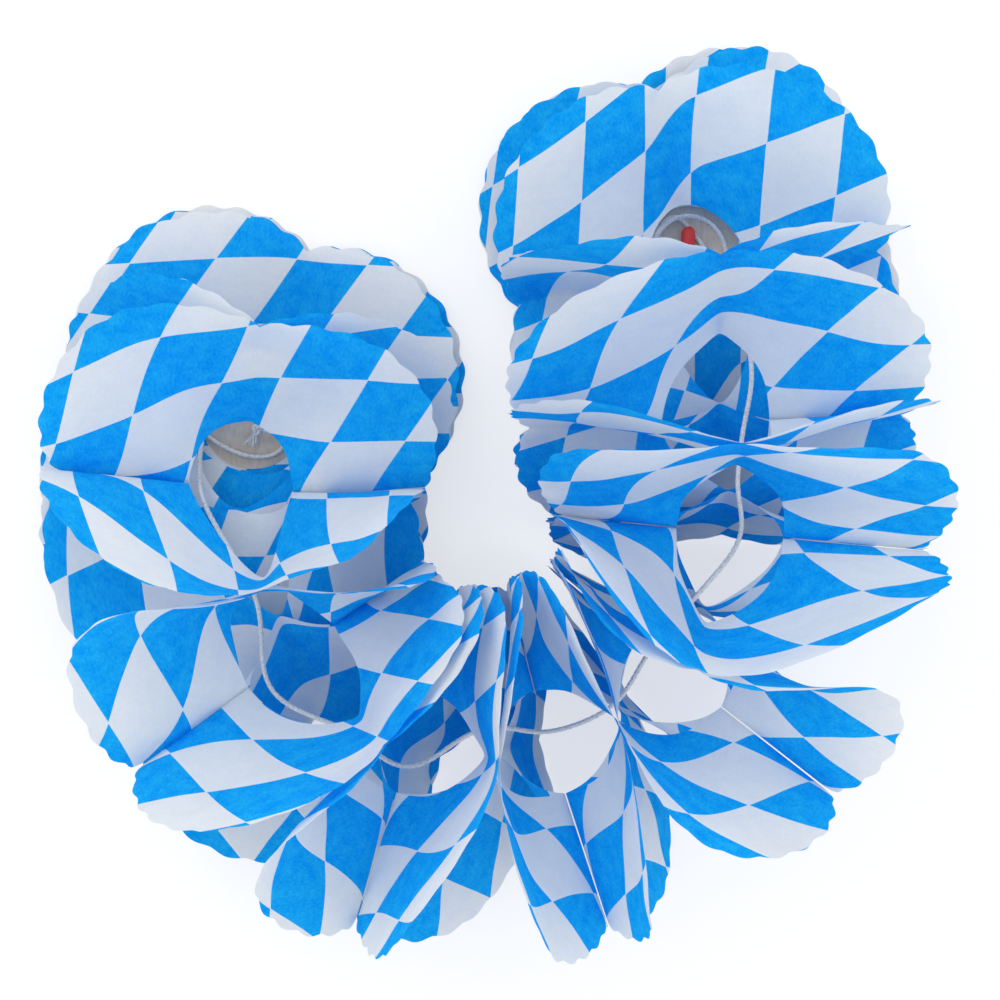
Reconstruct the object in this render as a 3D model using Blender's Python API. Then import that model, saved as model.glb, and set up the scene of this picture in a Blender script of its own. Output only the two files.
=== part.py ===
"""Paper chain garland: die-cut tissue sheets glued alternately, laid out in a U.

Units are metres, +Z is up and the table is the plane z = 0.

Every sheet has the same flat cut: four round lobes, a scalloped edge and a round hole.
Neighbouring sheets are glued along two straight strips only. One pair is glued along
the side-to-side line, the next pair along the top-to-bottom line, so the stack pulls
open like an accordion. Both end stacks lie flat on a cardboard plate and the sheets
between them stand on their lower lobes.
"""
import math

import bmesh
import bpy
import numpy as np
from mathutils import Vector
from mathutils.geometry import delaunay_2d_cdt

# Flat cut of one sheet
LOBE_RADIUS = 0.0542
LOBE_OFFSET = 0.0365
HOLE_RADIUS = 0.0212
SCALLOPS = 40
SCALLOP_DEPTH = 0.0012
SHEET_THICKNESS = 0.0003
GLUE_GAP = 0.0003

# Mesh of one sheet
HOLE_POINTS = 20
RING_POINTS = 20
RING_RADIUS = 0.047
FOLD_SHARPNESS = 0.93

# Cardboard end plates
PLATE_THICKNESS = 0.0015
PLATE_INSET = 0.003
PLATE_POINTS = 48
PLATE_HOLE_RADIUS = 0.0018
PLATE_HOLE_POINTS = 12

# How much the sheets crowd together towards the inner side of the U
INNER_GATHER = 0.18

# String, its knot at the left plate and the plastic tip at its right end
STRING_RADIUS = 0.0010
STRING_POINTS = 64
STRING_GAP = 0.0003
KNOT_RADIUS = 0.0024
TIP_RADIUS = 0.0030
TIP_LENGTH = 0.0120

# How the sheets lie. Each row is one glue line, from the left plate to the right plate:
# x and y of the hole's centre in mm, heading of the garland in degrees, lean of the lower
# half, lean of the upper half at its outer lobe, in the middle and at its inner lobe,
# sweep of the inner strip, and the height in mm that the sheets below it take up.
GLUE_LINES = [
    (-102, 34, -109, 0, 0, 0, 0, 0, 0.15),
    (-102, 34, -109, 0, 0, 0, 0, 0, 1.75),
    (-102, 33, -108, 1, 2, 2, 2, 0, 3.5),
    (-103, 26, -104, 4, 22, 22, 22, 0, 5.2),
    (-104, 17, -100, 8, 44, 44, 44, 0, 6.2),
    (-105, 5, -95, 16, 76, 68, 66, 0, 6.0),
    (-94, -29, -74, 30, 94, 95, 92, 0, 5.0),
    (-83, -62, -54, 43, 89, 102, 105, 0, 3.0),
    (-60, -81, -35, 54, 96, 106, 107, 0, 2.0),
    (-35, -95, -17, 63, 88, 102, 106, 0, 1.2),
    (-8, -99, 1, 71, 94, 96, 104, 0, 1.0),
    (19, -95, 18, 78, 88, 92, 102, 3, 0.9),
    (46, -85, 35, 84, 76, 89, 100, 3, 0.9),
    (70, -68, 52, 89, 94, 80, 98, 2, 0.9),
    (82, -41, 70, 94, 98, 71, 96, 2, 0.9),
    (90, -13, 85, 100, 98, 84, 97, 1, 1.0),
    (91, 11, 90, 110, 116, 98, 114, 0, 1.4),
    (85, 31, 92, 121, 114, 109, 114, 0, 2.5),
    (87, 54, 94, 136, 119, 123, 119, 0, 4.5),
    (81, 91, 98, 167, 132, 133, 132, 0, 5.8),
    (78, 102, 103, 177, 154, 152, 154, 0, 3.9),
    (78, 100, 107, 180, 179, 179, 179, 0, 1.75),
    (78, 100, 107, 180, 180, 180, 180, 0, 0.15),
]
# Petals that droop more than their seams. For each sheet: extra forward lean of the upper
# outer lobe, its turn towards the outer strip, and the same two for the upper inner lobe,
# all in degrees.
PETALS = {
    5: (-15, 6, -12, 6),
    6: (10, -8, 15, -6),
    7: (-28, 12, 0, 0),
    8: (0, 6, 5, 10),
    9: (-18, 14, 0, 8),
    10: (-12, 10, 0, 8),
    11: (0, 12, 0, 8),
    12: (0, 6, 0, 12),
    13: (-5, 4, 0, 8),
    14: (12, 16, 0, 8),
    15: (5, 20, 0, 10),
    16: (0, 20, 0, 18),
    17: (-4, 14, 0, 14),
    18: (6, 10, 3, 10),
    19: (-12, 14, 0, 0),
}
SHEET_COUNT = len(GLUE_LINES) - 1
FLAT_SHEETS = 2
PLATE_PLACES = (0, 5, 8, SHEET_COUNT - 8, SHEET_COUNT - 5, SHEET_COUNT)
GATHER_PLACES = (4, 7, 14, 17)

# Route of the string through the holes: sheets passed, then mm towards the inner side
# and towards the upper edge. The last part is a loose coil on the right plate.
STRING_STOPS = [
    (1.62, 6, -4),
    (1.35, 13, -1),
    (1.00, 16, -6),
    (0.85, 11, -13),
    (0.85, 1, -16),
    (1.05, -9, -15),
    (1.60, -14, -12),
    (2.30, -16, -9),
    (3.00, -16, -8),
    (4.00, -15, -7),
    (5.00, -12, -9),
    (6.00, -7, -10),
    (7.00, -15, -9),
    (8.00, -9, -14),
    (8.60, -12, -13),
    (9.00, -9, -14),
    (9.60, 5, -12),
    (10.20, 9, -8),
    (11.00, 3, -9),
    (12.00, 4, -10),
    (13.00, 14, -8),
    (14.00, 6, -10),
    (15.00, -5, -13),
    (16.00, -3, -13),
    (17.00, -11, -10),
    (18.00, -13, -4),
    (19.00, -14, -9),
]
COIL_TURNS = 1.5
COIL_STOPS = 18
COIL_START = math.radians(200)
COIL_RADIUS = 0.0175
COIL_PLACE = 19.8
COIL_END_PLACE = 21.35
TIP_STOPS = [
    (21.2, 4, 14),
    (21.1, -8, 9),
    (21.0, -10, -3),
    (20.8, -4, -12),
    (20.65, 2, -9),
    (20.6, 2, -4),
]


def clearObjects():
    for item in list(bpy.data.objects):
        bpy.data.objects.remove(item, do_unlink=True)


def makeMaterial(name, colour, roughness, metallic=0.0):
    material = bpy.data.materials.new(name)
    material.use_nodes = True
    shader = material.node_tree.nodes["Principled BSDF"]
    shader.inputs["Base Color"].default_value = (*colour, 1.0)
    shader.inputs["Roughness"].default_value = roughness
    shader.inputs["Metallic"].default_value = metallic
    material.diffuse_color = (*colour, 1.0)
    return material


def edgeRadius(angle):
    """Distance from the hole's centre to the smooth outline of the four lobes."""
    fromLobe = (angle % (math.pi / 2)) - math.pi / 4
    across = LOBE_OFFSET * math.sin(fromLobe)
    return LOBE_OFFSET * math.cos(fromLobe) + math.sqrt(LOBE_RADIUS ** 2 - across ** 2)


SHEET_REACH = LOBE_OFFSET * math.sqrt(0.5) + LOBE_RADIUS + SCALLOP_DEPTH / 2


def smoothRows(rows):
    """Values and end slopes for a smooth curve through the rows that never overshoots."""
    values = np.array(rows, dtype=float)
    steps = np.diff(values, axis=0)
    slopes = np.zeros_like(values)
    before, after = steps[:-1], steps[1:]
    same = before * after > 0
    total = np.where(same, before + after, 1.0)
    slopes[1:-1] = np.where(same, 2 * before * after / total, 0.0)
    slopes[0] = steps[0]
    slopes[-1] = steps[-1]
    return values, slopes


ROWS, ROW_SLOPES = smoothRows(GLUE_LINES)


def rowAt(place):
    """The glue-line values at any place along the garland, counted in sheets."""
    place = np.clip(np.asarray(place, dtype=float), 0, SHEET_COUNT)
    index = np.minimum(place.astype(int), SHEET_COUNT - 1)
    t = (place - index)[..., None]
    start, end = ROWS[index], ROWS[index + 1]
    startSlope, endSlope = ROW_SLOPES[index], ROW_SLOPES[index + 1]
    return (
        start * (2 * t ** 3 - 3 * t ** 2 + 1)
        + startSlope * (t ** 3 - 2 * t ** 2 + t)
        + end * (3 * t ** 2 - 2 * t ** 3)
        + endSlope * (t ** 3 - t ** 2)
    )


def direction(azimuth, elevation):
    return np.stack(
        (
            np.cos(azimuth) * np.cos(elevation),
            np.sin(azimuth) * np.cos(elevation),
            np.sin(elevation),
        ),
        axis=-1,
    )


def garlandPoint(place, across, up, extraLean=0.0):
    """World position of a point of the garland.

    place counts sheets from the left plate, across is the distance towards the inner
    side of the U, up the distance towards the upper edge.
    """
    row = rowAt(place)
    across = np.asarray(across, dtype=float)
    up = np.asarray(up, dtype=float)
    angles = np.moveaxis(np.radians(row[..., 2:8]), -1, 0)
    heading, bottom, topOuter, topMiddle, topInner, inner = angles
    onPlate = np.interp(place, PLATE_PLACES, (1, 1, 0, 0, 1, 1)) * PLATE_THICKNESS
    height = row[..., 8] * 0.001 + onPlate + SHEET_REACH * np.sin(bottom)
    centre = np.stack((row[..., 0] * 0.001, row[..., 1] * 0.001, height), axis=-1)
    level = np.zeros_like(heading)
    ahead = direction(heading, level)
    vertical = np.array((0.0, 0.0, 1.0))
    innerWay = direction(heading + math.pi / 2 - inner, level)
    outerWay = direction(heading - math.pi / 2, level)
    side = across / SHEET_REACH
    top = topMiddle + side * (topInner - topOuter) / 2
    top = top + side ** 2 * ((topInner + topOuter) / 2 - topMiddle) + extraLean
    topWay = np.sin(top)[..., None] * vertical - np.cos(top)[..., None] * ahead
    bottomWay = np.cos(bottom)[..., None] * ahead - np.sin(bottom)[..., None] * vertical
    inside = np.maximum(across, 0)
    gather = INNER_GATHER * np.interp(place, GATHER_PLACES, (0, 1, 1, 0))
    gathered = inside * (1 - gather * (inside / SHEET_REACH) ** 2)
    return (
        centre
        + gathered[..., None] * innerWay
        + np.maximum(-across, 0)[..., None] * outerWay
        + np.maximum(up, 0)[..., None] * topWay
        + np.maximum(-up, 0)[..., None] * bottomWay
    )


def spacingAt(place, across, up):
    """Distance in metres between garland points one sheet apart, square to the sheet."""
    step = 0.02
    slide = garlandPoint(place + step, across, up) - garlandPoint(place - step, across, up)
    nudge = 0.0005
    side = garlandPoint(place, across + nudge, up) - garlandPoint(place, across - nudge, up)
    rise = garlandPoint(place, across, up + nudge) - garlandPoint(place, across, up - nudge)
    normal = np.cross(side, rise)
    normal /= np.linalg.norm(normal, axis=-1)[..., None]
    return np.abs((slide * normal).sum(axis=-1)) / (2 * step)


def sheetPoint(number, across, up):
    """World position of a point of the flat cut of one sheet."""
    across = np.asarray(across, dtype=float)
    up = np.asarray(up, dtype=float)
    angle = np.arctan2(up, across)
    fold = np.arcsin(FOLD_SHARPNESS * np.cos(2 * angle)) / math.asin(FOLD_SHARPNESS)
    gluedAcross = 1 if number % 2 else -1
    share = 0.5 + 0.5 * gluedAcross * fold
    keep = (SHEET_THICKNESS + GLUE_GAP) / 2
    first = keep / spacingAt(number - 1 + 0.03, across, up)
    last = keep / spacingAt(number - 0.03, across, up)
    first = np.minimum(first, 0.45)
    last = np.minimum(last, 0.45)
    place = number - 1 + first + share * (1 - first - last)
    leanOuter, turnOuter, leanInner, turnInner = PETALS.get(number, (0, 0, 0, 0))
    bend = np.where(up > 0, np.sin(2 * angle) ** 2, 0.0)
    lean = bend * np.radians(np.where(across < 0, leanOuter, leanInner))
    angle = angle + bend * np.radians(np.where(across < 0, turnOuter, -turnInner))
    radius = np.hypot(across, up)
    return garlandPoint(place, radius * np.cos(angle), radius * np.sin(angle), lean)


def ringPoints(count, radius):
    turns = [2 * math.pi * i / count for i in range(count)]
    return [(radius * math.cos(turn), radius * math.sin(turn)) for turn in turns]


def scallopedEdge():
    edge = []
    for i in range(2 * SCALLOPS):
        turn = math.pi * i / SCALLOPS
        wave = SCALLOP_DEPTH / 2 if i % 2 else -SCALLOP_DEPTH / 2
        radius = edgeRadius(turn) + wave
        edge.append((radius * math.cos(turn), radius * math.sin(turn)))
    return edge


def isInside(point, outline):
    """Whether a flat point lies inside a closed outline."""
    inside = False
    for start, end in zip(outline, outline[1:] + outline[:1]):
        if (start[1] > point[1]) != (end[1] > point[1]):
            share = (point[1] - start[1]) / (end[1] - start[1])
            if point[0] < start[0] + share * (end[0] - start[0]):
                inside = not inside
    return inside


def flatCut(rings):
    """Triangles between nested rings, with creases along the four glue strips."""
    points = [Vector(point) for ring in rings for point in ring]
    edges = []
    firsts = []
    start = 0
    for ring in rings:
        size = len(ring)
        edges += [(start + i, start + (i + 1) % size) for i in range(size)]
        firsts.append(start)
        start += size
    for quarter in range(4):
        stops = [first + quarter * len(ring) // 4 for first, ring in zip(firsts, rings)]
        edges += list(zip(stops, stops[1:]))
    flat, _, faces, _, _, _ = delaunay_2d_cdt(points, edges, [], 0, 1e-7)
    kept = []
    for face in faces:
        centre = sum((flat[i] for i in face), Vector((0, 0))) / len(face)
        if isInside(centre, rings[0]) and not isInside(centre, rings[-1]):
            kept.append(tuple(face))
    return np.array([tuple(point) for point in flat]), kept


def makeObject(name, points, faces, material):
    mesh = bpy.data.meshes.new(name)
    mesh.from_pydata([tuple(point) for point in points], [], faces)
    mesh.materials.append(material)
    body = bmesh.new()
    body.from_mesh(mesh)
    bmesh.ops.recalc_face_normals(body, faces=body.faces)
    body.to_mesh(mesh)
    body.free()
    made = bpy.data.objects.new(name, mesh)
    bpy.context.scene.collection.objects.link(made)
    return made


def thicken(item, thickness):
    thick = item.modifiers.new("thickness", "SOLIDIFY")
    thick.thickness = thickness
    thick.offset = 0


def buildSheet(number, cut, material):
    flat, faces = cut
    points = sheetPoint(number, flat[:, 0], flat[:, 1])
    sheet = makeObject(f"sheet_{number:02d}", points, faces, material)
    thicken(sheet, SHEET_THICKNESS)


def buildPlate(name, place, cut, material):
    """Cardboard plate on the table, square under the end of the stack."""
    flat, faces = cut
    points = garlandPoint(place, flat[:, 0], flat[:, 1])
    points[:, 2] = PLATE_THICKNESS / 2
    plate = makeObject(name, points, faces, material)
    thicken(plate, PLATE_THICKNESS)


def smoothRoute(stops, count):
    """Evenly spaced points on a smooth curve through the stops."""
    stops = np.array(stops, dtype=float)
    padded = np.vstack((2 * stops[0] - stops[1], stops, 2 * stops[-1] - stops[-2]))
    fine = []
    for i in range(len(stops) - 1):
        p0, p1, p2, p3 = padded[i:i + 4]
        for t in np.linspace(0, 1, 24, endpoint=False):
            fine.append(
                0.5 * (2 * p1 + (p2 - p0) * t + (2 * p0 - 5 * p1 + 4 * p2 - p3) * t ** 2
                       + (3 * p1 - p0 - 3 * p2 + p3) * t ** 3)
            )
    fine.append(stops[-1])
    fine = np.array(fine)
    lengths = np.linalg.norm(np.diff(fine, axis=0), axis=1)
    travelled = np.concatenate(((0,), np.cumsum(lengths)))
    wanted = np.linspace(0, travelled[-1], count)
    even = [np.interp(wanted, travelled, fine[:, axis]) for axis in range(3)]
    return np.stack(even, axis=-1), travelled[-1]


def stringRoute():
    """Stops of the string: through every hole, then two loose turns on the right plate."""
    stops = []
    for place, across, up in STRING_STOPS:
        stops.append(garlandPoint(place, across * 0.001, up * 0.001))
    for i in range(1, COIL_STOPS + 1):
        turn = COIL_START + COIL_TURNS * 2 * math.pi * i / COIL_STOPS
        place = COIL_PLACE + (COIL_END_PLACE - COIL_PLACE) * i / COIL_STOPS
        stops.append(
            garlandPoint(place, COIL_RADIUS * math.cos(turn), COIL_RADIUS * math.sin(turn))
        )
    for place, across, up in TIP_STOPS:
        stops.append(garlandPoint(place, across * 0.001, up * 0.001))
    return stops


def buildString(material):
    points, length = smoothRoute(stringRoute(), STRING_POINTS)
    curve = bpy.data.curves.new("string", "CURVE")
    curve.dimensions = "3D"
    curve.bevel_depth = STRING_RADIUS
    curve.bevel_resolution = 2
    curve.use_fill_caps = True
    line = curve.splines.new("POLY")
    line.points.add(len(points) - 1)
    for spot, point in zip(line.points, points):
        spot.co = (*point, 1.0)
    curve.materials.append(material)
    string = bpy.data.objects.new("string", curve)
    bpy.context.scene.collection.objects.link(string)
    print("string length", round(length, 4))
    return points


def buildTurned(name, profile, sides, centre, axis, material):
    """A round body: profile pairs are distance along the axis and radius."""
    body = bmesh.new()
    rings = []
    for along, radius in profile:
        ring = []
        for i in range(sides):
            turn = 2 * math.pi * i / sides
            ring.append(body.verts.new((radius * math.cos(turn), radius * math.sin(turn), along)))
        rings.append(ring)
    for low, high in zip(rings, rings[1:]):
        for i in range(sides):
            j = (i + 1) % sides
            body.faces.new((low[i], low[j], high[j], high[i]))
    body.faces.new(list(reversed(rings[0])))
    body.faces.new(rings[-1])
    mesh = bpy.data.meshes.new(name)
    body.to_mesh(mesh)
    body.free()
    mesh.materials.append(material)
    mesh.shade_smooth()
    made = bpy.data.objects.new(name, mesh)
    made.rotation_mode = "QUATERNION"
    made.rotation_quaternion = Vector(axis).to_track_quat("Z", "Y")
    made.location = centre
    bpy.context.scene.collection.objects.link(made)
    return made


def roundProfile(length, radius, steps, nose):
    """Half outline of a rod with a rounded end, from its flat end to its nose."""
    profile = [(0.0, radius), (length - nose, radius)]
    for i in range(1, steps + 1):
        turn = 0.5 * math.pi * i / (steps + 0.5)
        profile.append((length - nose + nose * math.sin(turn), radius * math.cos(turn)))
    return profile


def ballProfile(radius, steps):
    turns = [math.pi * (i + 0.5) / steps for i in range(steps)]
    return [(-radius * math.cos(turn), radius * math.sin(turn)) for turn in turns]


def setOrigin():
    """Move everything so that the middle of its footprint is the origin."""
    bpy.context.view_layer.update()
    shapes = bpy.context.evaluated_depsgraph_get()
    corners = []
    for item in bpy.context.scene.objects:
        mesh = item.evaluated_get(shapes).to_mesh()
        corners += [item.matrix_world @ vertex.co for vertex in mesh.vertices]
    places = np.array([tuple(corner) for corner in corners])
    low, high = places.min(axis=0), places.max(axis=0)
    middle = Vector(((low[0] + high[0]) / 2, (low[1] + high[1]) / 2, low[2]))
    for item in bpy.context.scene.objects:
        item.location -= middle
    print("size", [round(float(side), 4) for side in high - low])
    print("moved by", [round(float(side), 5) for side in middle])


def buildGarland():
    clearObjects()
    tissue = makeMaterial("blue_white_tissue", (0.10, 0.38, 0.80), 0.9)
    cardboard = makeMaterial("grey_cardboard", (0.46, 0.40, 0.34), 0.95)
    cotton = makeMaterial("white_cotton", (0.78, 0.76, 0.72), 0.9)
    plastic = makeMaterial("red_plastic", (0.72, 0.04, 0.04), 0.4)
    edge = scallopedEdge()
    hole = ringPoints(HOLE_POINTS, HOLE_RADIUS)
    flatSheet = flatCut([edge, hole])
    foldedSheet = flatCut([edge, ringPoints(RING_POINTS, RING_RADIUS), hole])
    for number in range(1, SHEET_COUNT + 1):
        lying = number <= FLAT_SHEETS or number > SHEET_COUNT - FLAT_SHEETS
        buildSheet(number, flatSheet if lying else foldedSheet, tissue)
    plateEdge = []
    for i in range(PLATE_POINTS):
        turn = 2 * math.pi * i / PLATE_POINTS
        radius = edgeRadius(turn) - PLATE_INSET
        plateEdge.append((radius * math.cos(turn), radius * math.sin(turn)))
    plateCut = flatCut([plateEdge, ringPoints(PLATE_HOLE_POINTS, PLATE_HOLE_RADIUS)])
    buildPlate("end_plate_left", 0, plateCut, cardboard)
    buildPlate("end_plate_right", SHEET_COUNT, plateCut, cardboard)
    route = buildString(cotton)
    start, along = Vector(route[0]), Vector(route[0] - route[1]).normalized()
    knotCentre = start + along * (KNOT_RADIUS + STRING_GAP)
    buildTurned("string_knot", ballProfile(KNOT_RADIUS, 6), 10, knotCentre, along, cotton)
    end, along = Vector(route[-1]), Vector(route[-1] - route[-2]).normalized()
    tip = roundProfile(TIP_LENGTH, TIP_RADIUS, 3, TIP_RADIUS)
    buildTurned("red_end_tip", tip, 12, end + along * STRING_GAP, along, plastic)
    setOrigin()


buildGarland()
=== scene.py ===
import math

import bpy
import numpy as np
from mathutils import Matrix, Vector


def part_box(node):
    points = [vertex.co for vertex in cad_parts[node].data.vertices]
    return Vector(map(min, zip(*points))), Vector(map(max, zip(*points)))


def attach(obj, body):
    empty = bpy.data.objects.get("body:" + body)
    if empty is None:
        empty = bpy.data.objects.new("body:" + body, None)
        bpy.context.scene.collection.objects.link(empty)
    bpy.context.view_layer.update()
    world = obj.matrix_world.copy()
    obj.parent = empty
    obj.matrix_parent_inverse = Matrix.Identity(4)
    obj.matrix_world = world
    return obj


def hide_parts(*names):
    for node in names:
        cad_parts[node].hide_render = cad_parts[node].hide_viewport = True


# Tissue garland lying in a U on a white table, seen straight from above.
# The sheets follow the same folds as the solids, only finer and with small creases.

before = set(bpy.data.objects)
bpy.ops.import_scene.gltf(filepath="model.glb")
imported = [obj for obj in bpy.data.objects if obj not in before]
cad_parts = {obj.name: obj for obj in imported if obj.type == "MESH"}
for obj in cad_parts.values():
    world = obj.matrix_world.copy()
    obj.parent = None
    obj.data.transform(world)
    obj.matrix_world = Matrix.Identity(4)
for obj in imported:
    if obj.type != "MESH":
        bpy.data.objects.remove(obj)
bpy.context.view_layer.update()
print("frame loaded")

# How the garland lies, one row per glue line from the left plate to the right one:
# x, y in mm, heading, lean of the lower half, lean of the upper half at its outer lobe,
# in the middle and at its inner lobe, sweep of the inner strip, height below in mm
layRows = [
    (-102, 34, -109, 0, 0, 0, 0, 0, 0.15),
    (-102, 34, -109, 0, 0, 0, 0, 0, 1.75),
    (-102, 33, -108, 1, 2, 2, 2, 0, 3.5),
    (-103, 26, -104, 4, 22, 22, 22, 0, 5.2),
    (-104, 17, -100, 8, 44, 44, 44, 0, 6.2),
    (-105, 5, -95, 16, 76, 68, 66, 0, 6.0),
    (-94, -29, -74, 30, 94, 95, 92, 0, 5.0),
    (-83, -62, -54, 43, 89, 102, 105, 0, 3.0),
    (-60, -81, -35, 54, 96, 106, 107, 0, 2.0),
    (-35, -95, -17, 63, 88, 102, 106, 0, 1.2),
    (-8, -99, 1, 71, 94, 96, 104, 0, 1.0),
    (19, -95, 18, 78, 88, 92, 102, 3, 0.9),
    (46, -85, 35, 84, 76, 89, 100, 3, 0.9),
    (70, -68, 52, 89, 94, 80, 98, 2, 0.9),
    (82, -41, 70, 94, 98, 71, 96, 2, 0.9),
    (90, -13, 85, 100, 98, 84, 97, 1, 1.0),
    (91, 11, 90, 110, 116, 98, 114, 0, 1.4),
    (85, 31, 92, 121, 114, 109, 114, 0, 2.5),
    (87, 54, 94, 136, 119, 123, 119, 0, 4.5),
    (81, 91, 98, 167, 132, 133, 132, 0, 5.8),
    (78, 102, 103, 177, 154, 152, 154, 0, 3.9),
    (78, 100, 107, 180, 179, 179, 179, 0, 1.75),
    (78, 100, 107, 180, 180, 180, 180, 0, 0.15),
]
# Petals that lie otherwise than their seams: extra lean and a turn towards the strip beside
# them, in degrees, first for the upper outer lobe, then for the upper inner lobe
petals = {
    5: (-15, 6, -12, 6),
    6: (10, -8, 15, -6),
    7: (-28, 12, 0, 0),
    8: (0, 6, 5, 10),
    9: (-18, 14, 0, 8),
    10: (-12, 10, 0, 8),
    11: (0, 12, 0, 8),
    12: (0, 6, 0, 12),
    13: (-5, 4, 0, 8),
    14: (12, 16, 0, 8),
    15: (5, 20, 0, 10),
    16: (0, 20, 0, 18),
    17: (-4, 14, 0, 14),
    18: (6, 10, 3, 10),
    19: (-3, 12, -8, 0),
}
lay = {
    "sheets": len(layRows) - 1,
    "innerGather": 0.18,
    "gatherPlaces": (4, 7, 14, 17),
    "platePlaces": (0, 5, 8, len(layRows) - 9, len(layRows) - 6, len(layRows) - 1),
}
sheetCut = {
    "lobeRadius": 0.0542,
    "lobeOffset": 0.0365,
    "holeRadius": 0.0212,
    "scallops": 40,
    "scallopDepth": 0.0016,
    "foldSharpness": 0.95,
    "pinch": 0.89,  # below 1 the paper leaves its glued strips quickly and the lobes lie flatter
    "glueHalf": 0.0003,
    "gluePlace": 0.03,  # where the glued strips end, in sheets from the glue line
    "glueMost": 0.45,
    "turns": 400,
    "rings": 22,
}
creases = {
    "depth": 0.0007,
    "most": 0.10,  # share of the room between two glue lines
    "leastRoom": 0.002,
    "seed": 300,
    "waves": ((0.060, 1.0), (0.034, 0.6), (0.020, 0.30)),  # wavelength and weight
    "perWave": 3,
    "level": 2.4,
}
plate = {"thickness": 0.0015, "inset": 0.003, "hole": 0.0018, "bevel": 0.00025, "turns": 240}
millimetre = 0.001
reach = (
    sheetCut["lobeOffset"] * math.sqrt(0.5)
    + sheetCut["lobeRadius"]
    + sheetCut["scallopDepth"] / 2
)


def smoothRows(rows):
    values = np.array(rows, dtype=float)
    steps = np.diff(values, axis=0)
    slopes = np.zeros_like(values)
    before, after = steps[:-1], steps[1:]
    same = before * after > 0
    total = np.where(same, before + after, 1.0)
    slopes[1:-1] = np.where(same, 2 * before * after / total, 0.0)
    slopes[0], slopes[-1] = steps[0], steps[-1]
    return values, slopes


rowValues, rowSlopes = smoothRows(layRows)


def rowAt(place):
    place = np.clip(np.asarray(place, dtype=float), 0, lay["sheets"])
    index = np.minimum(place.astype(int), lay["sheets"] - 1)
    t = (place - index)[..., None]
    return (
        rowValues[index] * (2 * t ** 3 - 3 * t ** 2 + 1)
        + rowSlopes[index] * (t ** 3 - 2 * t ** 2 + t)
        + rowValues[index + 1] * (3 * t ** 2 - 2 * t ** 3)
        + rowSlopes[index + 1] * (t ** 3 - t ** 2)
    )


def level(azimuth):
    return np.stack((np.cos(azimuth), np.sin(azimuth), np.zeros_like(azimuth)), axis=-1)


def garlandPoint(place, across, up, extraLean=0.0):
    # across runs towards the inner side of the U, up towards the upper edge
    row = rowAt(place)
    across = np.asarray(across, dtype=float)
    up = np.asarray(up, dtype=float)
    heading, bottom, topOuter, topMiddle, topInner, inner = np.moveaxis(
        np.radians(row[..., 2:8]), -1, 0
    )
    onPlate = np.interp(place, lay["platePlaces"], (1, 1, 0, 0, 1, 1)) * plate["thickness"]
    height = row[..., 8] * millimetre + onPlate + reach * np.sin(bottom)
    centre = np.stack((row[..., 0] * millimetre, row[..., 1] * millimetre, height), axis=-1)
    ahead = level(heading)
    upwards = np.array((0.0, 0.0, 1.0))
    side = across / reach
    top = topMiddle + side * (topInner - topOuter) / 2
    top = top + side ** 2 * ((topInner + topOuter) / 2 - topMiddle) + extraLean
    topWay = np.sin(top)[..., None] * upwards - np.cos(top)[..., None] * ahead
    bottomWay = np.cos(bottom)[..., None] * ahead - np.sin(bottom)[..., None] * upwards
    inside = np.maximum(across, 0)
    gather = lay["innerGather"] * np.interp(place, lay["gatherPlaces"], (0, 1, 1, 0))
    gathered = inside * (1 - gather * (inside / reach) ** 2)
    return (
        centre
        + gathered[..., None] * level(heading + math.pi / 2 - inner)
        + np.maximum(-across, 0)[..., None] * level(heading - math.pi / 2)
        + np.maximum(up, 0)[..., None] * topWay
        + np.maximum(-up, 0)[..., None] * bottomWay
    )


def spacingAt(place, across, up):
    step, nudge = 0.02, 0.0005
    slide = garlandPoint(place + step, across, up) - garlandPoint(place - step, across, up)
    side = garlandPoint(place, across + nudge, up) - garlandPoint(place, across - nudge, up)
    rise = garlandPoint(place, across, up + nudge) - garlandPoint(place, across, up - nudge)
    normal = np.cross(side, rise)
    normal /= np.linalg.norm(normal, axis=-1)[..., None]
    return np.abs((slide * normal).sum(axis=-1)) / (2 * step)


def edgeRadius(turn):
    lobe = (turn % (math.pi / 2)) - math.pi / 4
    across = sheetCut["lobeOffset"] * np.sin(lobe)
    along = np.sqrt(sheetCut["lobeRadius"] ** 2 - across ** 2)
    return sheetCut["lobeOffset"] * np.cos(lobe) + along


def scallopedRadius(turn):
    wave = np.abs(np.sin(sheetCut["scallops"] * turn / 2)) ** 1.5
    return edgeRadius(turn) + sheetCut["scallopDepth"] * (wave - 0.5)


def creaseField(number, across, up):
    # slow waves of a sheet that was folded, packed and pulled open again
    random = np.random.default_rng(creases["seed"] + number)
    field = np.zeros_like(across)
    for wavelength, weight in creases["waves"]:
        for _ in range(creases["perWave"]):
            turn = random.uniform(0, 2 * math.pi)
            start = random.uniform(0, 2 * math.pi)
            along = across * math.cos(turn) + up * math.sin(turn)
            field += weight * np.sin(2 * math.pi * along / wavelength + start)
    return field / creases["level"]


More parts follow.
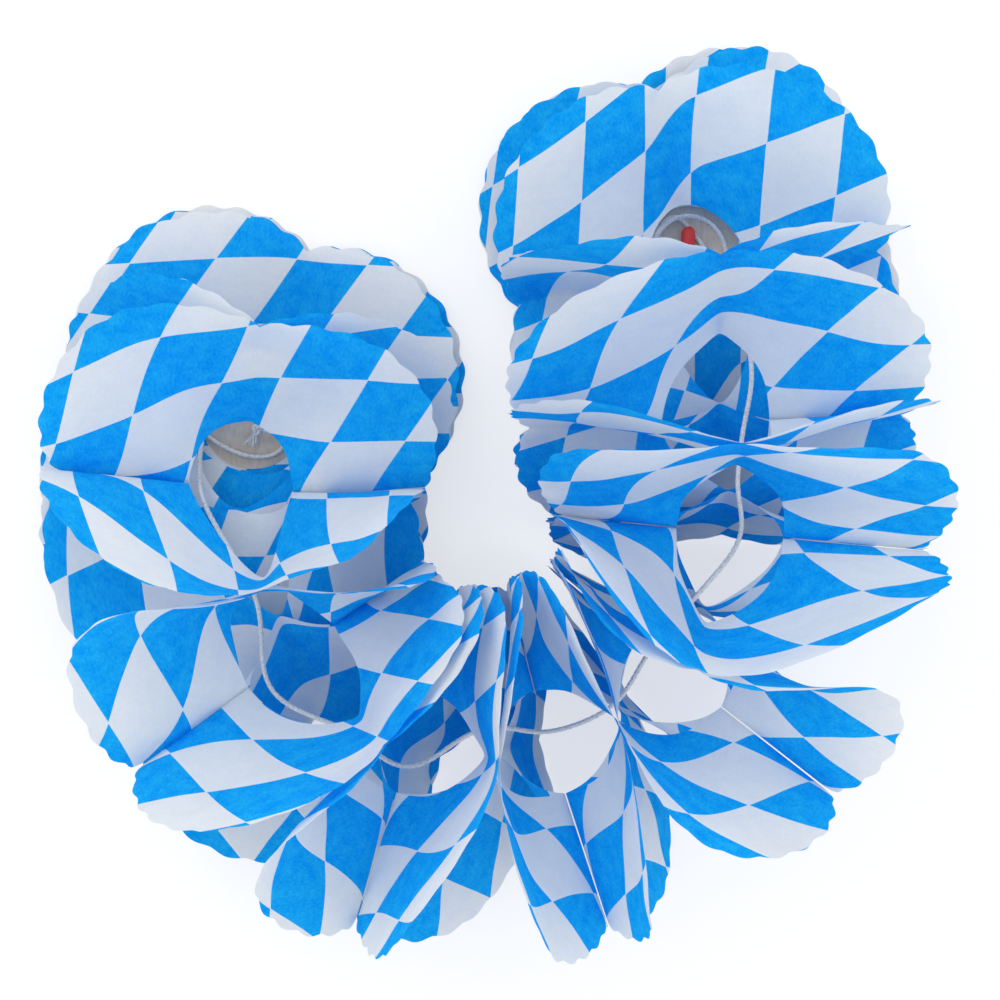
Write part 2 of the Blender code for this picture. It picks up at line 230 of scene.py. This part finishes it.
def sheetPoints(number, across, up):
    angle = np.arctan2(up, across)
    sharp = sheetCut["foldSharpness"]
    fold = np.arcsin(sharp * np.cos(2 * angle)) / math.asin(sharp)
    fold = np.sign(fold) * (1 - (1 - np.abs(fold)) ** sheetCut["pinch"])
    share = 0.5 + (0.5 if number % 2 else -0.5) * fold
    near, half, most = sheetCut["gluePlace"], sheetCut["glueHalf"], sheetCut["glueMost"]
    first = np.minimum(half / spacingAt(number - 1 + near, across, up), most)
    last = np.minimum(half / spacingAt(number - near, across, up), most)
    room = spacingAt(number - 1 + share, across, up)
    free = 4 * share * (1 - share)
    wave = creases["depth"] / np.maximum(room, creases["leastRoom"])
    wave = np.clip(wave, 0, creases["most"])
    share = share + wave * free * creaseField(number, across, up)
    leanOuter, turnOuter, leanInner, turnInner = petals.get(number, (0, 0, 0, 0))
    bend = np.where(up > 0, np.sin(2 * angle) ** 2, 0.0)
    lean = bend * np.radians(np.where(across < 0, leanOuter, leanInner))
    angle = angle + bend * np.radians(np.where(across < 0, turnOuter, -turnInner))
    place = number - 1 + first + share * (1 - first - last)
    radius = np.hypot(across, up)
    return garlandPoint(place, radius * np.cos(angle), radius * np.sin(angle), lean)


# The frame puts the middle of the footprint at its origin. The left plate tells how far.
plateLow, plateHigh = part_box("end_plate_left")
turns = np.linspace(0, 2 * math.pi, 4 * plate["turns"], endpoint=False)
plateReach = edgeRadius(turns) - plate["inset"]
ownPlate = garlandPoint(
    np.zeros_like(turns), plateReach * np.cos(turns), plateReach * np.sin(turns)
)
ownMiddle = (ownPlate.min(axis=0) + ownPlate.max(axis=0)) / 2
shift = np.array(((plateLow + plateHigh) / 2)[:]) - ownMiddle
shift[2] = 0.0


def addMesh(name, points, faces, material, smooth=True):
    mesh = bpy.data.meshes.new(name)
    mesh.from_pydata([tuple(point) for point in points], [], faces)
    mesh.materials.append(material)
    mesh.update()
    if smooth:
        mesh.shade_smooth()
    made = bpy.data.objects.new(name, mesh)
    bpy.context.scene.collection.objects.link(made)
    return made


def addAttribute(item, name, values):
    layer = item.data.attributes.new(name, "FLOAT_VECTOR", "POINT")
    layer.data.foreach_set("vector", np.asarray(values, dtype=np.float32).ravel())


def gridFaces(rows, columns, closed=True):
    faces = []
    for r in range(rows - 1):
        for c in range(columns if closed else columns - 1):
            d = (c + 1) % columns
            low, high = r * columns, (r + 1) * columns
            faces.append((low + c, low + d, high + d, high + c))
    return faces


def newMaterial(name):
    material = bpy.data.materials.new(name)
    material.use_nodes = True
    nodes = material.node_tree.nodes
    nodes.clear()
    return material, nodes, material.node_tree.links


def mathNode(nodes, links, kind, first, second=None):
    node = nodes.new("ShaderNodeMath")
    node.operation = kind
    for slot, value in enumerate((first, second)):
        if value is None:
            continue
        if isinstance(value, (int, float)):
            node.inputs[slot].default_value = value
        else:
            links.new(value, node.inputs[slot])
    return node.outputs[0]


def noiseNode(nodes, links, vector, scale, detail=3.0, stretch=(1, 1, 1)):
    mapping = nodes.new("ShaderNodeMapping")
    mapping.inputs["Scale"].default_value = stretch
    links.new(vector, mapping.inputs["Vector"])
    node = nodes.new("ShaderNodeTexNoise")
    node.inputs["Scale"].default_value = scale
    node.inputs["Detail"].default_value = detail
    links.new(mapping.outputs["Vector"], node.inputs["Vector"])
    return node.outputs["Fac"]


def rampNode(nodes, links, value, stops):
    node = nodes.new("ShaderNodeValToRGB")
    while len(node.color_ramp.elements) < len(stops):
        node.color_ramp.elements.new(0.5)
    for element, (position, colour) in zip(node.color_ramp.elements, stops):
        element.position = position
        element.color = (*colour, 1.0)
    links.new(value, node.inputs["Fac"])
    return node.outputs["Color"]


def mixColour(nodes, links, factor, first, second, kind="MIX"):
    node = nodes.new("ShaderNodeMix")
    node.data_type = "RGBA"
    node.blend_type = kind
    for slot, value in ((0, factor), (6, first), (7, second)):
        if isinstance(value, (int, float)):
            node.inputs[slot].default_value = value
        elif isinstance(value, tuple):
            node.inputs[slot].default_value = (*value, 1.0)
        else:
            links.new(value, node.inputs[slot])
    return node.outputs[2]


def addBump(nodes, links, shader, height, strength, distance):
    bump = nodes.new("ShaderNodeBump")
    bump.inputs["Strength"].default_value = strength
    bump.inputs["Distance"].default_value = distance
    links.new(height, bump.inputs["Height"])
    links.new(bump.outputs["Normal"], shader.inputs["Normal"])


def addOutput(nodes, links, surface):
    output = nodes.new("ShaderNodeOutputMaterial")
    links.new(surface, output.inputs["Surface"])


# Tissue paper, printed through with blue rhombs
tissue = {
    "white": (0.92, 0.935, 0.93),
    "whiteThin": (0.86, 0.89, 0.92),
    "blue": (0.0005, 0.36, 0.97),
    "bluePale": (0.020, 0.52, 0.98),
    "joint": 0.0055,  # white joint between rhombs, in rhomb sides
    "through": 0.30,  # share of the light that passes
    "roughness": 0.85,
    "specular": 0.05,
    "bump": 0.25,
    "bumpDepth": 0.0004,
    "fibreScale": 1100.0,
    "fibreStretch": (1.0, 0.5, 1.0),
    "cloudScale": 170.0,
    "slowScale": 22.0,
    "slowTone": 0.94,
}


def tissueMaterial():
    material, nodes, links = newMaterial("printed_tissue")
    flat = nodes.new("ShaderNodeAttribute")
    flat.attribute_name = "flat"
    rhomb = nodes.new("ShaderNodeAttribute")
    rhomb.attribute_name = "rhomb"
    split = nodes.new("ShaderNodeSeparateXYZ")
    links.new(rhomb.outputs["Vector"], split.inputs["Vector"])
    u, v = split.outputs["X"], split.outputs["Y"]
    cell = mathNode(
        nodes, links, "ADD", mathNode(nodes, links, "FLOOR", u), mathNode(nodes, links, "FLOOR", v)
    )
    odd = mathNode(nodes, links, "PINGPONG", cell, 1.0)
    toEdge = mathNode(
        nodes,
        links,
        "MINIMUM",
        mathNode(nodes, links, "PINGPONG", u, 0.5),
        mathNode(nodes, links, "PINGPONG", v, 0.5),
    )
    inked = mathNode(nodes, links, "GREATER_THAN", toEdge, tissue["joint"])
    ink = mathNode(nodes, links, "MULTIPLY", odd, inked)
    where = flat.outputs["Vector"]
    fibres = noiseNode(nodes, links, where, tissue["fibreScale"], 2.0, tissue["fibreStretch"])
    clouds = noiseNode(nodes, links, where, tissue["cloudScale"], 3.0)
    slow = noiseNode(nodes, links, where, tissue["slowScale"], 1.0)
    mottle = mathNode(
        nodes,
        links,
        "ADD",
        mathNode(nodes, links, "MULTIPLY", clouds, 0.5),
        mathNode(nodes, links, "MULTIPLY", fibres, 0.5),
    )
    white = mixColour(
        nodes,
        links,
        rampNode(nodes, links, mottle, ((0.36, (0, 0, 0)), (0.62, (1, 1, 1)))),
        tissue["whiteThin"],
        tissue["white"],
    )
    blue = mixColour(
        nodes,
        links,
        rampNode(nodes, links, mottle, ((0.38, (0, 0, 0)), (0.66, (1, 1, 1)))),
        tissue["blue"],
        tissue["bluePale"],
    )
    colour = mixColour(nodes, links, ink, white, blue)
    dim = (tissue["slowTone"],) * 3
    tone = rampNode(nodes, links, slow, ((0.3, dim), (0.7, (1, 1, 1))))
    colour = mixColour(nodes, links, 1.0, colour, tone, "MULTIPLY")
    paper = nodes.new("ShaderNodeBsdfPrincipled")
    paper.inputs["Roughness"].default_value = tissue["roughness"]
    paper.inputs["Specular IOR Level"].default_value = tissue["specular"]
    links.new(colour, paper.inputs["Base Color"])
    addBump(nodes, links, paper, mottle, tissue["bump"], tissue["bumpDepth"])
    glow = nodes.new("ShaderNodeBsdfTranslucent")
    links.new(colour, glow.inputs["Color"])
    both = nodes.new("ShaderNodeMixShader")
    both.inputs["Fac"].default_value = tissue["through"]
    links.new(paper.outputs["BSDF"], both.inputs[1])
    links.new(glow.outputs["BSDF"], both.inputs[2])
    addOutput(nodes, links, both.outputs["Shader"])
    return material


# Rhomb print: side and sharp angle are the same on every sheet, the start differs.
# The paper stretches a little at the glued strip, so the start slides over its width.
printing = {"side": 0.0330, "sharpAngle": 56.0, "slideWidth": 0.024}
# turn in degrees, start in rhomb sides on the outer lobes, and its slide to the inner lobes
printStarts = {
    1: (16, 1.61, 0.00, 0.0, 0.0),
    2: (20, 1.64, 0.40, 0.17, 0.30),
    3: (15, 1.87, 0.54, 0.12, 0.04),
    4: (14, 1.02, 0.86, 0.03, 0.00),
    5: (18, 0.81, 0.44, 0.34, -0.04),
    6: (29, 1.50, 0.79, 0.24, 0.35),
    7: (24, 0.77, 0.83, -0.47, 0.03),
    8: (22, 1.24, 1.89, 0.40, 0.22),
    9: (7, 0.13, 0.68, -0.50, 0.49),
    10: (18, 1.53, 0.58, 0.17, 0.43),
    11: (19, 0.22, 1.07, -0.47, 0.36),
    12: (11, 0.48, 0.53, 0.30, -0.29),
    13: (7, 1.25, 0.48, 0.47, 0.34),
    14: (120, 1.36, 0.77, -0.50, 0.29),
    15: (116, 0.85, 0.18, 0.36, -0.36),
    16: (120, 0.55, 0.80, -0.50, -0.13),
    17: (101, 1.78, 0.77, -0.43, 0.31),
    18: (117, 1.61, 0.56, 0.25, 0.40),
    19: (111, 1.68, 0.44, 0.08, -0.31),
    20: (105, 1.81, 1.16, 0.37, -0.33),
    21: (112, 1.19, 0.27, 0.50, -0.21),
    22: (109, 1.57, 0.44, 0.0, 0.04),
}


def rhombCoordinates(number, across, up):
    turn, startU, startV, slideU, slideV = printStarts[number]
    first = math.radians(turn)
    second = math.radians(turn + printing["sharpAngle"])
    sides = np.array(
        ((math.cos(first), math.cos(second)), (math.sin(first), math.sin(second)))
    ) * printing["side"]
    u, v = np.linalg.inv(sides) @ np.stack((across, up))
    share = np.clip(across / printing["slideWidth"] + 0.5, 0, 1)
    share = share ** 2 * (3 - 2 * share)
    return np.stack((u + startU + slideU * share, v + startV + slideV * share, 0 * u), axis=-1)


paperMaterial = tissueMaterial()
turn = np.linspace(0, 2 * math.pi, sheetCut["turns"], endpoint=False)
out = np.linspace(0, 1, sheetCut["rings"])
outGrid, turnGrid = np.meshgrid(out, turn, indexing="ij")
holeRadius = sheetCut["holeRadius"]
spread = holeRadius + outGrid * (edgeRadius(turnGrid) - holeRadius)
scalloped = holeRadius + outGrid * (scallopedRadius(turnGrid) - holeRadius)
spread = spread + (scalloped - spread) * outGrid ** 6  # only the outermost rings are scalloped
acrossGrid, upGrid = spread * np.cos(turnGrid), spread * np.sin(turnGrid)
sheetFaces = gridFaces(sheetCut["rings"], sheetCut["turns"])
for number in range(1, lay["sheets"] + 1):
    points = sheetPoints(number, acrossGrid, upGrid) + shift
    name = f"sheet_{number:02d}"
    paper = addMesh(name + "_paper", points.reshape(-1, 3), sheetFaces, paperMaterial)
    across, up = acrossGrid.ravel(), upGrid.ravel()
    apart = np.full_like(up, number * 0.5)  # so that no two sheets have the same fibres
    addAttribute(paper, "flat", np.stack((across, up, apart), axis=-1))
    addAttribute(paper, "rhomb", rhombCoordinates(number, across, up))
    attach(paper, "root")
    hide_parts(name)
print("sheets done")

# Grey board under each end of the stack
board = {
    "light": (0.72, 0.63, 0.53),
    "dark": (0.58, 0.50, 0.41),
    "roughness": 0.95,
    "grainScale": 700.0,
    "grainStretch": (1.0, 0.3, 1.0),
    "grainShare": 0.65,
    "blotchScale": 90.0,
    "bump": 0.3,
    "bumpDepth": 0.0003,
}


def boardMaterial():
    material, nodes, links = newMaterial("grey_board")
    where = nodes.new("ShaderNodeTexCoord").outputs["Object"]
    grain = noiseNode(nodes, links, where, board["grainScale"], 6.0, board["grainStretch"])
    blotch = noiseNode(nodes, links, where, board["blotchScale"], 3.0)
    mixed = mathNode(
        nodes,
        links,
        "ADD",
        mathNode(nodes, links, "MULTIPLY", grain, board["grainShare"]),
        mathNode(nodes, links, "MULTIPLY", blotch, 1 - board["grainShare"]),
    )
    shader = nodes.new("ShaderNodeBsdfPrincipled")
    shader.inputs["Roughness"].default_value = board["roughness"]
    links.new(
        rampNode(nodes, links, mixed, ((0.35, board["dark"]), (0.65, board["light"]))),
        shader.inputs["Base Color"],
    )
    addBump(nodes, links, shader, mixed, board["bump"], board["bumpDepth"])
    addOutput(nodes, links, shader.outputs["BSDF"])
    return material


greyBoard = boardMaterial()
plateTurn = np.linspace(0, 2 * math.pi, plate["turns"], endpoint=False)
plateHole = np.full_like(plateTurn, plate["hole"])
plateEdge = edgeRadius(plateTurn) - plate["inset"]
section = [
    (plateHole, 0.0),
    (plateHole, plate["thickness"]),
    (plateEdge - plate["bevel"], plate["thickness"]),
    (plateEdge, plate["thickness"] - plate["bevel"]),
    (plateEdge, plate["bevel"]),
    (plateEdge - plate["bevel"], 0.0),
]
for side, place in (("left", 0), ("right", lay["sheets"])):
    rings = []
    for radius, height in section:
        across, up = radius * np.cos(plateTurn), radius * np.sin(plateTurn)
        ring = garlandPoint(np.full_like(plateTurn, place), across, up)
        ring[:, 2] = height
        rings.append(ring + shift)
    points = np.concatenate(rings)
    faces = gridFaces(len(section), plate["turns"])
    last = (len(section) - 1) * plate["turns"]
    for c in range(plate["turns"]):
        d = (c + 1) % plate["turns"]
        faces.append((last + c, last + d, d, c))
    boardPiece = addMesh(f"end_board_{side}", points, faces, greyBoard, smooth=False)
    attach(boardPiece, "root")
    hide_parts(f"end_plate_{side}")
print("end boards done")

# String: sheets passed, mm towards the inner side, mm towards the upper edge
stringStops = [
    (1.62, 5, -4),
    (1.35, 13, -1),
    (1.00, 17, -6),
    (0.85, 12, -13),
    (0.85, 1, -16),
    (1.00, -9, -15),
    (1.45, -16, -13),
    (2.30, -18, -9),
    (3.00, -18, -7),
    (4.00, -18, -6),
    (5.00, -14, -9),
    (6.00, -7, -10),
    (7.00, -15, -9),
    (8.00, -9, -14),
    (8.60, -12, -13),
    (9.00, -9, -14),
    (9.60, 5, -12),
    (10.20, 9, -8),
    (11.00, 3, -9),
    (12.00, 4, -10),
    (13.00, 14, -8),
    (14.00, 6, -10),
    (15.00, -5, -13),
    (16.00, -3, -13),
    (17.00, -11, -10),
    (18.00, -13, -4),
    (19.00, -14, -9),
]
tipStops = [
    (21.3, 2, 19),
    (21.15, -4, 10),
    (21.0, -8, -2),
    (20.8, -4, -10),
    (20.65, 3, -6),
    (20.6, 1, 0),
]
coil = {
    "turns": 1.5,
    "stops": 18,
    "start": 200,
    "radius": 0.0165,
    "drift": (0.0036, -0.0012),  # from the first turn to the last, so the turns cross
    "place": 19.8,
    "endPlace": 21.35,
}
string = {
    "radius": 0.0010,
    "step": 0.0009,
    "curveSteps": 40,  # between two stops, before the route is made even
    "relax": 30,  # rounds of smoothing, so that no bend is tighter than two diameters
    "sides": 12,
    "plies": 3,
    "pitch": 0.0085,
    "plyDepth": 0.18,
    "dark": (0.52, 0.51, 0.50),
    "light": (0.80, 0.79, 0.77),
    "roughness": 0.9,
    "sheen": 0.3,
    "fluffScale": 1500.0,
    "bump": 0.4,
    "bumpDepth": 0.0002,
}


def smoothRoute(stops, step):
    stops = np.array(stops, dtype=float)
    padded = np.vstack((2 * stops[0] - stops[1], stops, 2 * stops[-1] - stops[-2]))
    fine = []
    for i in range(len(stops) - 1):
        p0, p1, p2, p3 = padded[i:i + 4]
        for t in np.linspace(0, 1, string["curveSteps"], endpoint=False):
            squared = (2 * p0 - 5 * p1 + 4 * p2 - p3) * t ** 2
            cubed = (3 * p1 - p0 - 3 * p2 + p3) * t ** 3
            fine.append(0.5 * (2 * p1 + (p2 - p0) * t + squared + cubed))
    fine.append(stops[-1])
    fine = np.array(fine)
    pieces = np.linalg.norm(np.diff(fine, axis=0), axis=1)
    travelled = np.concatenate(((0,), np.cumsum(pieces)))
    wanted = np.linspace(0, travelled[-1], int(travelled[-1] / step))
    even = [np.interp(wanted, travelled, fine[:, axis]) for axis in range(3)]
    even = np.stack(even, axis=-1)
    for _ in range(string["relax"]):
        even[1:-1] = (even[:-2] + 2 * even[1:-1] + even[2:]) / 4
    return even, float(np.linalg.norm(np.diff(even, axis=0), axis=1).sum())


def twistedTube(route, radius, sides, plies, pitch, depth):
    # a tube along the route with plies that wind round it, closed at both ends
    tangents = np.gradient(route, axis=0)
    tangents /= np.linalg.norm(tangents, axis=1)[:, None]
    side = np.cross(tangents[0], (0.2, 0.1, 1.0))
    points = []
    travelled = 0.0
    for i, (spot, along) in enumerate(zip(route, tangents)):
        if i:
            travelled += float(np.linalg.norm(route[i] - route[i - 1]))
        side = side - along * np.dot(side, along)
        side /= np.linalg.norm(side)
        other = np.cross(along, side)
        for k in range(sides):
            turn = 2 * math.pi * k / sides
            ply = abs(math.cos(0.5 * plies * (turn - 2 * math.pi * travelled / pitch)))
            size = radius * (1 - depth * (1 - ply))
            points.append(spot + size * (math.cos(turn) * side + math.sin(turn) * other))
    faces = gridFaces(len(route), sides)
    faces.append(tuple(reversed(range(sides))))
    faces.append(tuple(range(len(points) - sides, len(points))))
    return points, faces


def cottonMaterial():
    material, nodes, links = newMaterial("twisted_cotton")
    where = nodes.new("ShaderNodeTexCoord").outputs["Object"]
    fluff = noiseNode(nodes, links, where, string["fluffScale"], 4.0)
    shader = nodes.new("ShaderNodeBsdfPrincipled")
    shader.inputs["Roughness"].default_value = string["roughness"]
    shader.inputs["Sheen Weight"].default_value = string["sheen"]
    links.new(
        rampNode(nodes, links, fluff, ((0.3, string["dark"]), (0.6, string["light"]))),
        shader.inputs["Base Color"],
    )
    addBump(nodes, links, shader, fluff, string["bump"], string["bumpDepth"])
    addOutput(nodes, links, shader.outputs["BSDF"])
    return material


def stopPoints(rows):
    return [garlandPoint(place, across * millimetre, up * millimetre) for place, across, up in rows]


cotton = cottonMaterial()
stops = stopPoints(stringStops)
for share in np.linspace(0, 1, coil["stops"] + 1)[1:]:
    angle = math.radians(coil["start"]) + coil["turns"] * 2 * math.pi * share
    across = coil["radius"] * math.cos(angle) + coil["drift"][0] * (2 * share - 1)
    up = coil["radius"] * math.sin(angle) + coil["drift"][1] * (2 * share - 1)
    place = coil["place"] + (coil["endPlace"] - coil["place"]) * share
    stops.append(garlandPoint(place, across, up))
stops += stopPoints(tipStops)
route, stringLength = smoothRoute(stops, string["step"])
route = route + shift
points, faces = twistedTube(
    route,
    string["radius"],
    string["sides"],
    string["plies"],
    string["pitch"],
    string["plyDepth"],
)
stringPiece = addMesh("cotton_string", points, faces, cotton)
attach(stringPiece, "root")
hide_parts("string")
print("string done", round(stringLength, 3))

# Overhand knot at the left plate, with the loose fibres of the cut end
knot = {
    "size": 0.00062,
    "radius": 0.0008,
    "strands": 6,
    "strandLength": 0.0062,
    "strandRadius": 0.00036,
    "fibres": 12,
    "fibreLength": 0.0068,
    "fibreRadius": 0.00012,
    "fibrePitch": 0.01,
    "plyDepth": 0.1,
    "sides": 10,
    "fibreSides": 7,
    "steps": 90,
    "fibreSteps": 8,
    "height": 1.3,
    "seed": 8,
    "away": (-0.45, -0.9, 0.0),
    "spread": 0.5,
    "bend": 0.4,
    "lift": 0.35,  # the fibres lie close to the board
    "bendLift": 0.3,
    "shortest": 0.6,
}
knotLow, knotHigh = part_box("string_knot")
knotMiddle = np.array(((knotLow + knotHigh) / 2)[:])
t = np.linspace(0, 2 * math.pi, knot["steps"])
wide = 2 + np.cos(3 * t)  # a trefoil, the closed form of the overhand knot
high = knot["height"] * np.sin(3 * t)
loop = np.stack((wide * np.cos(2 * t), wide * np.sin(2 * t), high), axis=-1)
knotPoints, knotFaces = twistedTube(
    loop * knot["size"] + knotMiddle,
    knot["radius"],
    knot["sides"],
    string["plies"],
    string["pitch"],
    knot["plyDepth"],
)
random = np.random.default_rng(knot["seed"])
away = np.array(knot["away"])
s = np.linspace(0, 1, knot["fibreSteps"])[:, None]
for i in range(knot["strands"] + knot["fibres"]):
    strand = i < knot["strands"]
    length = knot["strandLength"] if strand else knot["fibreLength"]
    thick = knot["strandRadius"] if strand else knot["fibreRadius"]
    way = away + random.uniform(-knot["spread"], knot["spread"], 3)
    way[2] = abs(way[2]) * knot["lift"]
    bend = random.uniform(-knot["bend"], knot["bend"], 3) * (1, 1, knot["bendLift"])
    size = length * random.uniform(knot["shortest"], 1.0)
    hair = knotMiddle + (way * s + bend * s ** 2) * size
    hairPoints, hairFaces = twistedTube(
        hair, thick, knot["fibreSides"], string["plies"], knot["fibrePitch"], 0.0
    )
    start = len(knotPoints)
    knotPoints += hairPoints
    knotFaces += [tuple(start + index for index in face) for face in hairFaces]
knotPiece = addMesh("cotton_knot", knotPoints, knotFaces, cotton)
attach(knotPiece, "root")
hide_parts("string_knot")

# Red plastic end of the string
tip = {
    "length": 0.0120,
    "radius": 0.0030,
    "sides": 32,
    "start": 0.0003,
    "straight": ((0.0, 0.75), (0.0004, 0.95), (0.0008, 1.0)),  # way along and share of the radius
    "taper": 0.96,
    "roundSteps": 8,
    "red": (0.72, 0.035, 0.035),
    "darkRed": (0.66, 0.03, 0.03),
    "roughness": 0.38,
    "speckScale": 500.0,
}


def tipMaterial():
    material, nodes, links = newMaterial("red_tip")
    where = nodes.new("ShaderNodeTexCoord").outputs["Object"]
    speck = noiseNode(nodes, links, where, tip["speckScale"], 2.0)
    shader = nodes.new("ShaderNodeBsdfPrincipled")
    shader.inputs["Roughness"].default_value = tip["roughness"]
    links.new(
        rampNode(nodes, links, speck, ((0.3, tip["darkRed"]), (0.7, tip["red"]))),
        shader.inputs["Base Color"],
    )
    addOutput(nodes, links, shader.outputs["BSDF"])
    return material


along = route[-1] - route[-2]
along /= np.linalg.norm(along)
aside = np.cross(along, (0.3, 0.2, 1.0))
aside /= np.linalg.norm(aside)
other = np.cross(along, aside)
outline = [*tip["straight"], (tip["length"] - tip["radius"], tip["taper"])]
for i in range(1, tip["roundSteps"] + 1):
    bend = 0.5 * math.pi * i / (tip["roundSteps"] + 0.3)
    out = tip["length"] - tip["radius"] * (1 - math.sin(bend))
    outline.append((out, tip["taper"] * math.cos(bend)))
tipPoints = []
for out, size in outline:
    for k in range(tip["sides"]):
        angle = 2 * math.pi * k / tip["sides"]
        ring = size * tip["radius"] * (math.cos(angle) * aside + math.sin(angle) * other)
        tipPoints.append(route[-1] + along * (out + tip["start"]) + ring)
tipFaces = gridFaces(len(outline), tip["sides"])
tipFaces.append(tuple(reversed(range(tip["sides"]))))
tipFaces.append(tuple(range(len(tipPoints) - tip["sides"], len(tipPoints))))
tipPiece = addMesh("red_tip", tipPoints, tipFaces, tipMaterial())
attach(tipPiece, "root")
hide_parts("red_end_tip")
print("knot and tip done")

# White table. Seen straight it is whiter than it lights, and it keeps the soft shadow.
table = {"size": 3.0, "lit": (0.88, 0.88, 0.88), "seen": (0.42, 0.42, 0.42), "glow": 0.62}
corners = ((-1, -1), (1, -1), (1, 1), (-1, 1))
corners = [(x * table["size"], y * table["size"], 0.0) for x, y in corners]
floorMaterial, nodes, links = newMaterial("table_white")
floor = addMesh("table", corners, [(0, 1, 2, 3)], floorMaterial, smooth=False)
plain = nodes.new("ShaderNodeBsdfDiffuse")
plain.inputs["Color"].default_value = (*table["lit"], 1.0)
shadowed = nodes.new("ShaderNodeBsdfDiffuse")
shadowed.inputs["Color"].default_value = (*table["seen"], 1.0)
lifted = nodes.new("ShaderNodeEmission")
lifted.inputs["Strength"].default_value = table["glow"]
bright = nodes.new("ShaderNodeAddShader")
links.new(shadowed.outputs["BSDF"], bright.inputs[0])
links.new(lifted.outputs["Emission"], bright.inputs[1])
ray = nodes.new("ShaderNodeLightPath")
mirrored = mathNode(
    nodes, links, "MAXIMUM", ray.outputs["Is Glossy Ray"], ray.outputs["Is Transmission Ray"]
)
straight = mathNode(nodes, links, "MAXIMUM", ray.outputs["Is Camera Ray"], mirrored)
choose = nodes.new("ShaderNodeMixShader")
links.new(straight, choose.inputs["Fac"])
links.new(plain.outputs["BSDF"], choose.inputs[1])
links.new(bright.outputs["Shader"], choose.inputs[2])
addOutput(nodes, links, choose.outputs["Shader"])

# Soft studio light from all round, a little stronger from the upper left
light = {
    "world": 1.0,
    "size": 1.4,
    "lamps": (("key", 9.0, (-1.0, 1.2, 1.9)), ("fill", 4.0, (1.3, -0.6, 1.6))),
}
world = bpy.data.worlds.new("studio")
world.use_nodes = True
backdrop = world.node_tree.nodes["Background"]
backdrop.inputs["Color"].default_value = (1.0, 1.0, 1.0, 1.0)
backdrop.inputs["Strength"].default_value = light["world"]
bpy.context.scene.world = world
for name, power, spot in light["lamps"]:
    lamp = bpy.data.lights.new(name, "AREA")
    lamp.energy = power
    lamp.size = light["size"]
    lampObject = bpy.data.objects.new(name, lamp)
    lampObject.location = spot
    lampObject.rotation_mode = "QUATERNION"
    lampObject.rotation_quaternion = (-Vector(spot)).to_track_quat("-Z", "Y")
    bpy.context.scene.collection.objects.link(lampObject)

# Camera straight above. The frame of the photograph is 0.408 m wide at mid height.
view = {"height": 1.6, "width": 0.408, "midHeight": 0.02, "sensor": 36.0, "farthest": 20.0}
camera = bpy.data.cameras.new("camera")
camera.sensor_width = view["sensor"]
camera.lens = view["sensor"] * (view["height"] - view["midHeight"]) / view["width"]
camera.clip_end = view["farthest"]
cameraObject = bpy.data.objects.new("camera", camera)
cameraObject.location = (shift[0], shift[1], view["height"])
bpy.context.scene.collection.objects.link(cameraObject)
bpy.context.scene.camera = cameraObject
bpy.context.scene.view_settings.view_transform = "Standard"

print("all done")
